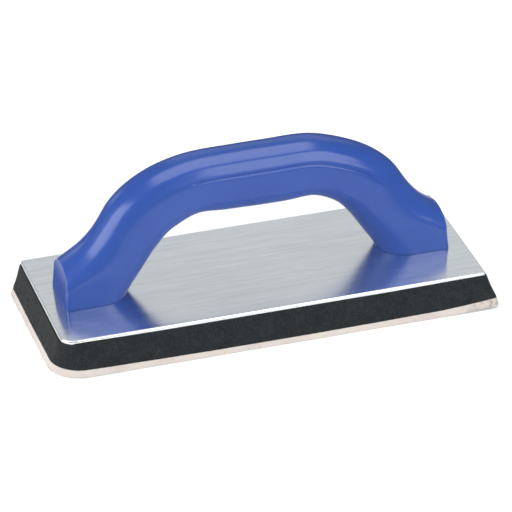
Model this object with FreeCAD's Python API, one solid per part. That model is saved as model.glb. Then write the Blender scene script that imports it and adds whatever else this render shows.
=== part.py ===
import FreeCAD, Part
import math
import os

# Rubber-faced hand float (grout float). Millimetres, +Z up.
# Origin: centre of the working face, which lies on Z = 0.
# X runs along the length of the float, Y across it.

Vector = FreeCAD.Vector

# ---------------------------------------------------------------- pad and plate sizes
FACE_L = 241.3          # working face length, 9 1/2 in
FACE_W = 101.6          # working face width, 4 in
TOTAL_T = 19.3          # face to top of plate, nominally 3/4 in
GUM_T = 3.2             # gum-rubber sheet, 1/8 in
FILM_T = 0.15           # cured contact adhesive
PLATE_T = 2.0           # aluminium backing plate
FLARE = 5.84            # each side leans out by this much from plate top to face
# Plan corner radii, in the order (+X +Y), (+X -Y), (-X -Y), (-X +Y).
# The +X end is nearly square; the -X end is rounded, most of all on the -Y side.
R_FACE = (1.5, 1.5, 18.0, 8.5)      # at the working face
R_PAD_TOP = (1.8, 1.8, 8.5, 3.0)    # top of the sponge
R_PLATE = (1.7, 1.7, 8.0, 2.7)      # plate
PLATE_EDGE_R = 0.9      # rolled top edge of the plate
GLUE_INSET = 0.3        # plate adhesive stops short of the plate edge by this much

PLATE_L = FACE_L - 2 * FLARE
PLATE_W = FACE_W - 2 * FLARE
Z_PLATE_TOP = TOTAL_T
Z_PLATE_BOT = Z_PLATE_TOP - PLATE_T
Z_FOAM_TOP = Z_PLATE_BOT - FILM_T
Z_FOAM_BOT = GUM_T + FILM_T

# ---------------------------------------------------------------- screw sizes
# A screw stands on its head, with the head face at its own z = 0.
SCREW_X = (79.5, 95.5)  # distances of the two screws of a foot from the middle, on Y = 0
SCREW_R = 2.1           # thread crest radius, and the bore's entry
RIDGE_R = SCREW_R - 0.05    # radius of the ridges
ROOT_R = 1.45           # thread root radius
PITCH = 1.6
SCREW_L = 17.0          # head face to tip
TIP_R = 0.25
TIP_L = 1.6
HEAD_R = 3.9            # flat head
HEAD_T = 1.8
HEAD_RIM = 0.15         # straight rim of the head
SHANK_L = 0.9           # plain shank above the head
SHANK_TAPER = 0.5       # shank down to thread root
HEAD_RECESS = 0.08      # head face above the underside of the plate
SLOT_L = 4.4            # arms of the cross recess
SLOT_W = 0.95
SLOT_T = 1.25
HOLE_R = 2.3            # clearance hole in the plate

# ---------------------------------------------------------------- foot sizes
END_X = 105.0           # handle end face at the plate, from the middle
END_DRAFT = 0.09        # the end face leans in by this much per mm of height
END_CORNER_R = 2.2      # upright corners of the end faces
END_SIDE = 0.2          # the trimming block is wider than the foot by this much per side
TRIM_H = 90.0           # height of the trimming block, above the whole handle
POCKET_DEPTH = 12.0     # each foot is cored from below, to keep the walls even
POCKET_ARC_X = 84.5     # where the pocket's straight sides meet its round inner end
POCKET_BULGE = 0.92     # depth of that round end, as a share of the half width
POCKET_CORNER_R = 2.0
WALL = 3.4
BOSS_R = 4.4
RIB_T = 2.6
OVERCUT = 1.0           # bosses and rib run past the pocket by this much

# ---------------------------------------------------------------- handle shape
# Control points of cubic curves from the middle of the grip (first) to past the toe (last),
# with z above the plate. Columns:
#   x and z of the outer line (crown), x and z of the inner line (over the fingers),
#   skew of the outer z and the inner z, added at +X and taken off at -X,
#   half width, depth of the crown, depth of the rounding over the fingers, fullness of crown.
STATIONS = [
    (0.0, 73.03, 0.0, 38.52, 0.0, 0.0, 13.30, 13.0, 11.5, 2.10),
    (13.1, 72.81, 8.86, 38.81, -0.01, -0.19, 13.31, 13.0, 11.5, 2.13),
    (25.17, 72.93, 16.8, 38.77, 0.21, -0.25, 13.33, 13.0, 11.5, 2.17),
    (35.84, 71.94, 23.61, 39.64, 0.25, -0.29, 13.37, 13.0, 11.5, 2.21),
    (45.95, 69.08, 29.79, 40.19, -0.1, -0.11, 13.44, 13.0, 11.5, 2.25),
    (55.7, 65.39, 35.78, 38.24, -0.26, 0.23, 13.58, 13.1, 11.55, 2.27),
    (64.95, 60.4, 41.38, 35.38, -0.01, 0.32, 13.84, 13.7, 11.8, 2.26),
    (72.16, 54.96, 46.53, 32.19, 0.15, 0.23, 14.10, 14.5, 12.1, 2.24),
    (78.04, 49.1, 50.65, 27.29, 0.46, 0.57, 14.34, 15.6, 12.5, 2.18),
    (81.57, 43.51, 55.32, 21.51, 0.78, 0.41, 14.62, 17.4, 13.1, 2.04),
    (86.46, 35.59, 59.82, 14.01, 0.32, 0.33, 14.86, 17.0, 13.6, 2.02),
    (93.56, 27.28, 65.36, 6.42, 0.03, 0.3, 14.96, 14.6, 13.9, 2.20),
    (102.02, 21.01, 70.68, -2.48, 0.0, 0.0, 15.04, 11.6, 14.3, 2.50),
    (110.18, 15.28, 75.58, -13.52, 0.0, 0.0, 15.10, 11.2, 14.45, 2.61),
    (118.3, 10.2, 81.0, -25.5, 0.0, 0.0, 15.10, 11.2, 14.45, 2.61),
    (126.5, 5.6, 87.5, -38.0, 0.0, 0.0, 15.10, 11.2, 14.45, 2.61),
    (134.7, 1.0, 94.5, -50.0, 0.0, 0.0, 15.10, 11.2, 14.45, 2.61),
]
(OUTER_X, OUTER_Z, INNER_X, INNER_Z, OUTER_SKEW, INNER_SKEW,
 HALF_W, CROWN, UNDER, FULLNESS) = zip(*STATIONS)
FOOT_HALF_W = HALF_W[-1]

# The surface runs from -STATION_END to STATION_END, in stations, with SECTIONS_PER_STATION.
STATION_END = 15.2
STATION_STEP = 0.2

UPPER_LEDGE = 10.5      # a fine ledge runs along each side of the grip, this far below the crown
LOWER_LEDGE = 9.0       # and a softer one this far above the line over the fingers
PANEL_H = 0.42          # how far the side panel between them stands proud
FLUTE_DEPTH = 0.62      # soft flute under the crown
CREASE_DEPTH = 0.30     # crease above the upper ledge
GROOVE_DEPTH = 0.10     # faint groove at the lower ledge
LOWER_SHARE = 0.85      # share of the panel height lost at the lower ledge; the rest fades out
# Where each detail runs along X: starts, is full, begins to fade, ends.
FLUTE_X = (-49, -38, 22, 44)
CREASE_X = (-41.5, -35.5, 44, 68)
PANEL_X = (-44, -36, 50, 72)
LOWER_X = (-45, -32, 40, 60)


# ---------------------------------------------------------------- handle surface
def curve(column, station, odd=False):
    """Cubic B-spline of a STATIONS column at a signed station, mirrored about the middle."""
    k = int(abs(station))
    t = abs(station) - k
    if k > 0:
        before = column[k - 1]
    else:
        before = -column[1] if odd else column[1]
    after = column[k + 2] if k + 2 < len(column) else 2 * column[-1] - column[-2]
    value = ((1 - t) ** 3 / 6 * before
             + (3 * t ** 3 - 6 * t ** 2 + 4) / 6 * column[k]
             + (-3 * t ** 3 + 3 * t ** 2 + 3 * t + 1) / 6 * column[k + 1]
             + t ** 3 / 6 * after)
    return -value if odd and station < 0 else value


def smooth(start, end, x):
    """Smooth step from 0 at start to 1 at end."""
    t = max(0.0, min(1.0, (x - start) / (end - start)))
    return t * t * (3 - 2 * t)


def fade(limits, x):
    """1 in the middle of a detail's run, falling smoothly to 0 at both ends."""
    start, full, fading, end = limits
    return smooth(start, full, x) * (1 - smooth(fading, end, x))


def bump(x, centre, half):
    """A smooth hump of height 1 at centre, 0 beyond half either side."""
    away = abs(x - centre) / half
    return 0.0 if away >= 1 else 0.5 * (1 + math.cos(math.pi * away))


def plain_section(station, height):
    """Half section without details, from the crown line to the finger line.

    Points are (y, d), with d from 0 at the finger line to height at the crown line.
    Also gives the indices of the points on the upper and the lower ledge.
    """
    half_w = curve(HALF_W, station)
    crown_depth = curve(CROWN, station)
    under_depth = curve(UNDER, station)
    power = 2.0 / curve(FULLNESS, station)
    quarter = math.pi / 2

    def crown(angle):
        drop = crown_depth * (1 - math.cos(angle) ** power)
        return half_w * math.sin(angle) ** power, height - drop

    def under(angle):
        return half_w * math.cos(angle), under_depth * (1 - math.sin(angle))

    upper = math.acos((1 - UPPER_LEDGE / crown_depth) ** (1 / power))
    lower = math.asin(1 - LOWER_LEDGE / under_depth)

    # even steps down the crown, then closer ones up to the ledge
    points = [crown(upper * (1 - 1.6 / 12.0) * j / 12.0) for j in range(13)]
    points += [crown(upper * k) for k in (0.905, 0.94, 0.965, 0.985, 1.0)]
    upper_index = len(points) - 1
    rest = quarter - upper
    steps = (min(0.022, 0.2 * rest), min(0.05, 0.4 * rest), 0.6 * rest, 0.8 * rest)
    points += [crown(upper + step) for step in steps]
    # flat side
    for j in range(7):
        k = j / 6.0
        points.append((half_w, (height - crown_depth) * (1 - k) + under_depth * k))
    # rounding over the fingers, with closer steps at the lower ledge
    points += [under(lower * k) for k in (0.4, 0.75, 0.92)]
    lower_index = len(points)
    points += [under(lower + step) for step in (0.0, 0.035, 0.07, 0.12)]
    rest = quarter - lower - 0.12
    points += [under(lower + 0.12 + rest * j / 10.0) for j in range(1, 11)]
    points[-1] = (0.0, 0.0)                   # exactly on the centre plane
    return points, upper_index, lower_index


def relief(x, from_upper, from_lower):
    """Outward offset at x; the distances are down the section from each ledge."""
    lower = fade(LOWER_X, x)
    stepped = LOWER_SHARE * lower
    panel = smooth(-0.25, 0.55, from_upper) * (
        1 - smooth(-0.5, 0.6, from_lower) * stepped - smooth(0.0, 7.0, from_lower) * (1 - stepped))
    return (PANEL_H * fade(PANEL_X, x) * panel
            - FLUTE_DEPTH * fade(FLUTE_X, x) * bump(from_upper, centre=-4.0, half=3.4)
            - CREASE_DEPTH * fade(CREASE_X, x) * bump(from_upper, centre=-0.45, half=0.9)
            - GROOVE_DEPTH * lower * bump(from_lower, centre=0.5, half=1.3))


def section(station):
    """Points of one handle section down the +Y side, from the crown to the finger line."""
    outer_x = curve(OUTER_X, station, odd=True)
    inner_x = curve(INNER_X, station, odd=True)
    outer_z = curve(OUTER_Z, station) + curve(OUTER_SKEW, station, odd=True)
    inner_z = curve(INNER_Z, station) + curve(INNER_SKEW, station, odd=True)
    height = math.hypot(outer_x - inner_x, outer_z - inner_z)
    up_x = (outer_x - inner_x) / height
    up_z = (outer_z - inner_z) / height
    middle_x = 0.5 * (outer_x + inner_x)

    points, upper_index, lower_index = plain_section(station, height)
    run = [0.0]                               # distance down the section
    for (y0, d0), (y1, d1) in zip(points, points[1:]):
        run.append(run[-1] + math.hypot(y1 - y0, d1 - d0))

    last = len(points) - 1
    result = []
    for i, (y, d) in enumerate(points):
        if i == 0:
            normal_y, normal_d = 0.0, 1.0
        elif i == last:
            normal_y, normal_d = 0.0, -1.0
        else:
            along_y = points[i + 1][0] - points[i - 1][0]
            along_d = points[i + 1][1] - points[i - 1][1]
            length = math.hypot(along_y, along_d)
            normal_y, normal_d = -along_d / length, along_y / length
        offset = relief(middle_x, run[i] - run[upper_index], run[i] - run[lower_index])
        y += normal_y * offset
        d += normal_d * offset
        result.append(Vector(inner_x + up_x * d, max(y, 0.0), inner_z + up_z * d))
    return result


def handle_blank():
    """The bridge as a closed tube that runs on past both toes; the feet are trimmed from it."""
    poles = []
    for i in range(int(round(2 * STATION_END / STATION_STEP)) + 1):
        half = section(-STATION_END + i * STATION_STEP)
        poles.append(half + [Vector(p.x, -p.y, p.z) for p in reversed(half[1:-1])])
    rows, columns = len(poles), len(poles[0])
    surface = Part.BSplineSurface()
    # clamped along the handle, periodic around it, cubic both ways
    surface.buildFromPolesMultsKnots(
        poles,
        [4] + [1] * (rows - 4) + [4], [1] * (columns + 1),
        list(range(rows - 2)), list(range(columns + 1)),
        False, True, 3, 3)
    tube = surface.toShape()
    # the closed end edges, not the long seam
    caps = [Part.Face(Part.Wire([e])).reversed()
            for e in tube.Edges if e.isClosed() and e.BoundBox.XLength < 90]
    solid = Part.Solid(Part.Shell([tube] + caps))
    if not solid.isValid():                   # the caps may not share edges with the tube
        solid.fix(1e-5, 1e-5, 1e-5)
    return solid


# ---------------------------------------------------------------- helpers
def rounded_rect(length, width, radii, z):
    """Closed outline at height z, corners in the order of R_FACE."""
    corners = []
    for (side_x, side_y), r in zip(((1, 1), (1, -1), (-1, -1), (-1, 1)), radii):
        inset = r * (1 - math.sqrt(0.5))
        arc = [Vector(side_x * (length / 2 - dx), side_y * (width / 2 - dy), z)
               for dx, dy in ((r, 0), (inset, inset), (0, r))]
        corners.append(arc if side_x == side_y else arc[::-1])
    edges = []
    for i, arc in enumerate(corners):
        edges.append(Part.Arc(*arc).toShape())
        edges.append(Part.makeLine(arc[2], corners[(i + 1) % 4][0]))
    return Part.Wire(edges)


def pad_outline(z):
    """Outline of the flared pad stack at height z."""
    inset = 2 * FLARE * z / TOTAL_T
    radii = [low + (high - low) * z / Z_FOAM_TOP for low, high in zip(R_FACE, R_PAD_TOP)]
    return rounded_rect(FACE_L - inset, FACE_W - inset, radii, z)


def slab(z0, z1):
    """Layer of the pad stack between two heights."""
    return Part.makeLoft([pad_outline(z0), pad_outline(z1)], True, True)


def revolve(points):
    """Solid of revolution about Z from (r, z) points; the first and last are on the axis."""
    corners = [Vector(r, 0, z) for r, z in points]
    profile = Part.Face(Part.makePolygon(corners + [corners[0]]))
    solid = profile.revolve(Vector(0, 0, 0), Vector(0, 0, 1), 360)
    if solid.Volume < 0:
        solid.reverse()
    return solid


def placed(shape, offset):
    moved = shape.copy()
    moved.translate(offset)
    return moved


# ---------------------------------------------------------------- screws
def thread_profile():
    """(r, z) from the end of the shank to the tip, with the thread as equal ridges."""
    z = HEAD_T + SHANK_L
    points = [(SCREW_R, z)]
    z += SHANK_TAPER
    points.append((ROOT_R, z))
    while z + PITCH < SCREW_L - 2.0:
        points += [(ROOT_R, z + 0.45), (RIDGE_R, z + 0.85), (RIDGE_R, z + 1.0),
                   (ROOT_R, z + PITCH)]
        z += PITCH
    return points + [(ROOT_R, SCREW_L - TIP_L), (TIP_R, SCREW_L), (0.0, SCREW_L)]


def make_screw():
    head = [(0.0, 0.0), (HEAD_R, 0.0), (HEAD_R, HEAD_RIM), (SCREW_R, HEAD_T)]
    body = revolve(head + thread_profile())
    arm_x = Part.makeBox(SLOT_L, SLOT_W, SLOT_T, Vector(-SLOT_L / 2, -SLOT_W / 2, 0))
    arm_y = Part.makeBox(SLOT_W, SLOT_L, SLOT_T, Vector(-SLOT_W / 2, -SLOT_L / 2, 0))
    cone = revolve([(0.0, -0.1), (2.25, -0.1), (0.75, 1.3), (0.0, 1.3)])
    return body.cut(arm_x.fuse(arm_y).common(cone))


def screw_pair(side):
    """Both screws of the foot at -X (side -1) or +X (side 1)."""
    screw = make_screw()
    z = Z_PLATE_BOT + HEAD_RECESS
    return Part.makeCompound([placed(screw, Vector(side * x, 0, z)) for x in SCREW_X])


# ---------------------------------------------------------------- plate
def make_plate_adhesive():
    outline = rounded_rect(PLATE_L - 2 * GLUE_INSET, PLATE_W - 2 * GLUE_INSET,
                           R_PLATE, Z_FOAM_TOP)
    return Part.Face(outline).extrude(Vector(0, 0, FILM_T))


def make_plate():
    outline = rounded_rect(PLATE_L, PLATE_W, R_PLATE, Z_PLATE_BOT)
    plate = Part.Face(outline).extrude(Vector(0, 0, PLATE_T))
    top = [e for e in plate.Edges
           if abs(e.BoundBox.ZMin - Z_PLATE_TOP) < 1e-4
           and abs(e.BoundBox.ZMax - Z_PLATE_TOP) < 1e-4]
    plate = plate.makeFillet(PLATE_EDGE_R, top)
    # hole countersunk from below
    sink_r = HEAD_R + 0.1
    sink = revolve([(0.0, -0.5), (sink_r, -0.5), (sink_r, 0.27),
                    (HOLE_R, HEAD_T + 0.12), (HOLE_R, 3.0), (0.0, 3.0)])
    for side in (-1, 1):
        for x in SCREW_X:
            plate = plate.cut(placed(sink, Vector(side * x, 0, Z_PLATE_BOT)))
    return plate


# ---------------------------------------------------------------- handle, built with z = 0 at plate
def foot_pocket(side):
    """Core under a foot, less two bosses and the rib that joins them."""
    y = FOOT_HALF_W - WALL
    end_x = END_X - WALL - END_DRAFT * POCKET_DEPTH
    arc_start = Vector(POCKET_ARC_X, y, 0)
    arc_middle = Vector(POCKET_ARC_X - y * POCKET_BULGE, 0, 0)
    arc_end = Vector(POCKET_ARC_X, -y, 0)
    corner_low = Vector(end_x, -y, 0)
    corner_high = Vector(end_x, y, 0)
    outline = Part.Wire([
        Part.Arc(arc_start, arc_middle, arc_end).toShape(),
        Part.makeLine(arc_end, corner_low),
        Part.makeLine(corner_low, corner_high),
        Part.makeLine(corner_high, arc_start),
    ])
    core = Part.Face(outline).extrude(Vector(0, 0, POCKET_DEPTH))
    upright = [e for e in core.Edges
               if e.BoundBox.XLength < 1e-4 and e.BoundBox.YLength < 1e-4
               and e.BoundBox.XMin > end_x - 1]
    core = core.makeFillet(POCKET_CORNER_R, upright)
    tool_h = POCKET_DEPTH + 2 * OVERCUT
    for x in SCREW_X:
        core = core.cut(Part.makeCylinder(BOSS_R, tool_h, Vector(x, 0, -OVERCUT)))
    rib_start = Vector(SCREW_X[0], -RIB_T / 2, -OVERCUT)
    core = core.cut(Part.makeBox(SCREW_X[1] - SCREW_X[0], RIB_T, tool_h, rib_start))
    if side < 0:
        core = core.mirror(Vector(0, 0, 0), Vector(1, 0, 0))
    return core


def trim_block():
    """Block between the plate and the drafted end faces, with rounded upright corners."""
    y = FOOT_HALF_W + END_SIDE
    top_x = END_X - END_DRAFT * TRIM_H
    corners = [Vector(-END_X, -y, 0), Vector(END_X, -y, 0),
               Vector(top_x, -y, TRIM_H), Vector(-top_x, -y, TRIM_H)]
    block = Part.Face(Part.makePolygon(corners + [corners[0]])).extrude(Vector(0, 2 * y, 0))
    upright = [e for e in block.Edges if e.BoundBox.ZLength > TRIM_H - 1]
    return block.makeFillet(END_CORNER_R, upright)


def make_handle():
    handle = handle_blank().common(trim_block())
    bore = revolve([(0.0, -1.0), (SCREW_R, -1.0)] + thread_profile())
    for side in (-1, 1):
        handle = handle.cut(foot_pocket(side))
        for x in SCREW_X:
            handle = handle.cut(placed(bore, Vector(side * x, 0, HEAD_RECESS - PLATE_T)))
    if len(handle.Solids) == 1:               # a cut may wrap its one solid in a compound
        handle = handle.Solids[0]
    return placed(handle, Vector(0, 0, Z_PLATE_TOP))


def main():
    parts = {
        "gum_face": slab(0.0, GUM_T),
        "face_adhesive": slab(GUM_T, Z_FOAM_BOT),
        "foam_pad": slab(Z_FOAM_BOT, Z_FOAM_TOP),
        "plate_adhesive": make_plate_adhesive(),
        "backing_plate": make_plate(),
        "handle": make_handle(),
        "handle_screws_left": screw_pair(-1),
        "handle_screws_right": screw_pair(1),
    }
    os.makedirs("parts", exist_ok=True)
    for name, shape in parts.items():
        shape.exportStep("parts/" + name + ".step")


main()
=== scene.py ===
# A hand float: a blue moulded bow handle screwed to an aluminium backing plate, over a flared
# sponge pad and a thin gum-rubber face. It lies face down on z = 0 with its length along X and
# its front towards -Y. The corners are nearly square at +X and well rounded at -X.
# Shapes are worked out in millimetres and turned into metres when a mesh is made.
import math
import bpy
import bmesh
import numpy as np
from mathutils import Vector, Matrix


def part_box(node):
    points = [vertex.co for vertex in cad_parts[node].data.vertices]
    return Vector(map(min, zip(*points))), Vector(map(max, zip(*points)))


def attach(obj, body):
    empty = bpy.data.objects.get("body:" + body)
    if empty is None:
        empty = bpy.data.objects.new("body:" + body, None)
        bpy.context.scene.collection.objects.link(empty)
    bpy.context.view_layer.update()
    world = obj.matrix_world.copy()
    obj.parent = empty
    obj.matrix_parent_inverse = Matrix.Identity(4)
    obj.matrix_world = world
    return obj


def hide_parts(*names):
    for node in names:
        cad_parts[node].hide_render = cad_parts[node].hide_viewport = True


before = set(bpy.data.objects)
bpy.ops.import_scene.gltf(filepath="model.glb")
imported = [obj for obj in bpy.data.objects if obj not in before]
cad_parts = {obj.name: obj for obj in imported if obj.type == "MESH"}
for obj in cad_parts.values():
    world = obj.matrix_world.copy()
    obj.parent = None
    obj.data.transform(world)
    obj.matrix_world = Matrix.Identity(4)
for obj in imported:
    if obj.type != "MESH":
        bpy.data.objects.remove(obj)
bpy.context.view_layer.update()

MM = 0.001

# ------------------------------------------------------------------ sizes read from the frame
gum_lo, gum_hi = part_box("gum_face")
foam_lo, foam_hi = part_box("foam_pad")
plate_lo, plate_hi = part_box("backing_plate")
FACE_LENGTH = (gum_hi.x - gum_lo.x) / MM
FACE_WIDTH = (gum_hi.y - gum_lo.y) / MM
GUM_TOP = gum_hi.z / MM
FOAM_BOTTOM, FOAM_TOP = foam_lo.z / MM, foam_hi.z / MM
FOAM_HEIGHT = FOAM_TOP - FOAM_BOTTOM
PLATE_BOTTOM, PLATE_TOP = plate_lo.z / MM, plate_hi.z / MM
FLARE = (FACE_LENGTH - (plate_hi.x - plate_lo.x) / MM) / 2     # overhang of the face on each side
# plan corner radii, in the order (+X -Y), (+X +Y), (-X +Y), (-X -Y)
FACE_RADII = (1.5, 1.5, 8.5, 18.0)
PAD_TOP_RADII = (1.8, 1.8, 3.0, 8.5)


# ------------------------------------------------------------------ small mathematics
def ramp(start, end, value):
    """0 at start, 1 at end, straight between and level outside."""
    return np.clip((value - start) / (end - start), 0, 1)


def ease(start, end, value):
    """The same as ramp, with soft ends."""
    t = ramp(start, end, value)
    return t * t * (3 - 2 * t)


def hump(value, centre, half):
    """A cosine hump of height 1."""
    phase = np.clip((value - centre) / half, -1, 1)
    return np.where(np.abs(value - centre) < half, 0.5 * (1 + np.cos(np.pi * phase)), 0.0)


def unit(vector):
    return vector / np.linalg.norm(vector)


def spline_weights(t):
    """Weights of four neighbouring poles of a uniform cubic B-spline."""
    return ((1 - t) ** 3 / 6, (3 * t ** 3 - 6 * t ** 2 + 4) / 6,
            (-3 * t ** 3 + 3 * t ** 2 + 3 * t + 1) / 6, t ** 3 / 6)


def spline(poles, u, odd=False):
    """A B-spline through one half's poles, mirrored (or turned over, if odd) about u = 0."""
    distance = abs(u)
    k = min(int(distance), len(poles) - 2)
    before = (-poles[1] if odd else poles[1]) if k == 0 else poles[k - 1]
    after = poles[k + 2] if k + 2 < len(poles) else 2 * poles[-1] - poles[-2]
    weights = spline_weights(distance - k)
    value = (weights[0] * before + weights[1] * poles[k]
             + weights[2] * poles[k + 1] + weights[3] * after)
    return -value if (odd and u < 0) else value


# ------------------------------------------------------------------ mesh helpers
class Mesh:
    """Vertices in millimetres and faces as they are gathered."""

    def __init__(self):
        self.verts, self.faces = [], []

    def add(self, point):
        self.verts.append(point)
        return len(self.verts) - 1

    def strip(self, a, b, closed=False):
        """Quads between two rows of vertices."""
        if closed:
            a, b = a + a[:1], b + b[:1]
        for i in range(len(a) - 1):
            self.faces.append((a[i], a[i + 1], b[i + 1], b[i]))

    def fan(self, loop, hub):
        for i in range(len(loop)):
            self.faces.append((loop[i], loop[(i + 1) % len(loop)], hub))


def new_object(name, verts, faces, sharp_degrees):
    """A cleaned, smooth-shaded object from vertices in millimetres."""
    mesh = bpy.data.meshes.new(name)
    clean = []
    for face in faces:
        face = [k for i, k in enumerate(face) if k != face[i - 1]]
        if len(face) > 2:
            clean.append(face)
    mesh.from_pydata((np.asarray(verts, float) * MM).tolist(), [], clean)
    mesh.validate()
    bm = bmesh.new()
    bm.from_mesh(mesh)
    bmesh.ops.remove_doubles(bm, verts=bm.verts, dist=2e-6)
    bmesh.ops.dissolve_degenerate(bm, dist=1e-7, edges=bm.edges)
    bmesh.ops.recalc_face_normals(bm, faces=bm.faces)
    bm.to_mesh(mesh)
    bm.free()
    mesh.polygons.foreach_set("use_smooth", [True] * len(mesh.polygons))
    mesh.set_sharp_from_angle(angle=math.radians(sharp_degrees))
    mesh.update()
    return link_object(name, mesh)


def link_object(name, data):
    ob = bpy.data.objects.new(name, data)
    bpy.context.scene.collection.objects.link(ob)
    return ob


def place(ob, material, node):
    """Give a new piece its material and put it in for the frame's node."""
    ob.data.materials.append(material)
    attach(ob, "root")
    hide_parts(node)


# ------------------------------------------------------------------ handle: sizes
# One row per station u = 0..16 from the middle of the bow to past its +X foot. Z is above the plate.
STATIONS = (
    # outer line X, Z; inner line X, Z; skew of Z, outer and inner (added at +X, taken off at -X);
    # half width; crown depth; underside depth; fullness of the crown (2 is an ellipse)
    (0.00, 73.03, 0.00, 38.52, 0.00, 0.00, 13.30, 13.0, 11.50, 2.10),
    (13.10, 72.81, 8.86, 38.81, -0.01, -0.19, 13.31, 13.0, 11.50, 2.13),
    (25.17, 72.93, 16.80, 38.77, 0.21, -0.25, 13.33, 13.0, 11.50, 2.17),
    (35.84, 71.94, 23.61, 39.64, 0.25, -0.29, 13.37, 13.0, 11.50, 2.21),
    (45.95, 69.08, 29.79, 40.19, -0.10, -0.11, 13.44, 13.0, 11.50, 2.25),
    (55.70, 65.39, 35.78, 38.24, -0.26, 0.23, 13.58, 13.1, 11.55, 2.27),
    (64.95, 60.40, 41.38, 35.38, -0.01, 0.32, 13.84, 13.7, 11.80, 2.26),
    (72.16, 54.96, 46.53, 32.19, 0.15, 0.23, 14.10, 14.5, 12.10, 2.24),
    (78.04, 49.10, 50.65, 27.29, 0.46, 0.57, 14.34, 15.6, 12.50, 2.18),
    (81.57, 43.51, 55.32, 21.51, 0.78, 0.41, 14.62, 17.4, 13.10, 2.04),
    (86.46, 35.59, 59.82, 14.01, 0.32, 0.33, 14.86, 17.0, 13.60, 2.02),
    (93.56, 27.28, 65.36, 6.42, 0.03, 0.30, 14.96, 14.6, 13.90, 2.20),
    (102.02, 21.01, 70.68, -2.48, 0.00, 0.00, 15.04, 11.6, 14.30, 2.50),
    (110.18, 15.28, 75.58, -13.52, 0.00, 0.00, 15.10, 11.2, 14.45, 2.61),
    (118.30, 10.20, 81.00, -25.50, 0.00, 0.00, 15.10, 11.2, 14.45, 2.61),
    (126.50, 5.60, 87.50, -38.00, 0.00, 0.00, 15.10, 11.2, 14.45, 2.61),
    (134.70, 1.00, 94.50, -50.00, 0.00, 0.00, 15.10, 11.2, 14.45, 2.61),
)
(OUTER_X, OUTER_Z, INNER_X, INNER_Z, OUTER_SKEW, INNER_SKEW,
 HALF_WIDTH, CROWN, UNDER, FULLNESS) = zip(*STATIONS)

U_STEP, U_END = 0.2, 15.2      # spacing and extent of the pole sections, in stations
UPPER_DROP = 10.5              # upper moulded line, below the outer line
LOWER_RISE = 9.0               # lower moulded line, above the inner line
UPPER_V, LOWER_V = 17.0, 32.0  # the two lines as pole numbers around the section
SOLE_Z = 0.3                   # where the feet start rounding into the flat sole
END_X, END_DRAFT = 105.0, 0.09             # end faces at z = 0, and their lean inwards per mm of height
END_CORNER_RADIUS, END_SIDE_MARGIN = 2.2, 0.2
END_CORNER_Y = HALF_WIDTH[-1] + END_SIDE_MARGIN - END_CORNER_RADIUS
GRIP_REACH = 45                # pole sections each side of the middle that carry the moulded detail
TOE_ROWS, FILLET_ROWS = 46, 5


# ------------------------------------------------------------------ handle: surface
def section(u):
    """Poles of a half section (y >= 0), from the middle of the crown round to the underside."""
    outer_x, inner_x = spline(OUTER_X, u, odd=True), spline(INNER_X, u, odd=True)
    outer_z = spline(OUTER_Z, u) + spline(OUTER_SKEW, u, odd=True)
    inner_z = spline(INNER_Z, u) + spline(INNER_SKEW, u, odd=True)
    width, crown_depth, under_depth = spline(HALF_WIDTH, u), spline(CROWN, u), spline(UNDER, u)
    power = 2.0 / spline(FULLNESS, u)
    height = math.hypot(outer_x - inner_x, outer_z - inner_z)
    up_x, up_z = (outer_x - inner_x) / height, (outer_z - inner_z) / height
    if crown_depth + under_depth > height - 2:       # keep at least 2 mm of straight side
        shrink = (height - 2) / (crown_depth + under_depth)
        crown_depth, under_depth = crown_depth * shrink, under_depth * shrink

    def crown(angle):
        fall = crown_depth * (1 - max(math.cos(angle), 0.0) ** power)
        return width * math.sin(angle) ** power, height - fall

    def under(angle):
        return width * math.cos(angle), under_depth * (1 - math.sin(angle))

    upper = math.acos(max(0.0, 1 - min(UPPER_DROP / crown_depth, 0.97)) ** (1 / power))
    lower = math.asin(max(0.0, min(1.0, 1 - LOWER_RISE / under_depth)))
    left = math.pi / 2 - upper
    past = (min(0.022, 0.2 * left), min(0.05, 0.4 * left), 0.6 * left, 0.8 * left)
    # poles crowd together at the two moulded lines
    poles = [crown(upper * (1 - (1.6 / 12.0)) * j / 12.0) for j in range(13)]
    poles += [crown(upper * k) for k in (0.905, 0.94, 0.965, 0.985, 1.0)]
    poles += [crown(upper + angle) for angle in past]
    poles += [(width, (height - crown_depth) * (1 - j / 6.0) + under_depth * (j / 6.0))
              for j in range(7)]
    poles += [under(lower * k) for k in (0.4, 0.75, 0.92)]
    poles += [under(lower + angle) for angle in (0.0, 0.035, 0.07, 0.12)]
    poles += [under(lower + 0.12 + (math.pi / 2 - lower - 0.12) * j / 10.0)
              for j in range(1, 11)]
    poles[0], poles[-1] = (0.0, height), (0.0, 0.0)
    return [(inner_x + up_x * d, max(y, 0.0), inner_z + up_z * d) for y, d in poles]


def handle_poles():
    """Pole grid (along, around, xyz): whole sections from the -X foot to the +X foot."""
    rows = []
    for i in range(int(round(2 * U_END / U_STEP)) + 1):
        half = section(-U_END + i * U_STEP)
        rows.append(half + [(x, -y, z) for x, y, z in reversed(half[1:-1])])
    return np.array(rows)


POLES = handle_poles()
ALONG, AROUND = POLES.shape[:2]
MIDDLE = (ALONG - 1) // 2
UNDERSIDE_V = AROUND // 2


def pole_column(v):
    """The poles of the lengthwise curve at place v around the section."""
    k = int(math.floor(v))
    weights = spline_weights(v - k)
    return sum(weights[m] * POLES[:, (k - 1 + m) % AROUND] for m in range(4))


def points_at(column, s):
    """Points of a lengthwise curve at places s, counted in pole sections."""
    s = np.atleast_1d(np.asarray(s, float))
    k = np.clip(np.floor(s).astype(int), 1, ALONG - 3)
    weights = spline_weights(s - k)
    return sum(weights[m][:, None] * column[k - 1 + m] for m in range(4))


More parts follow.
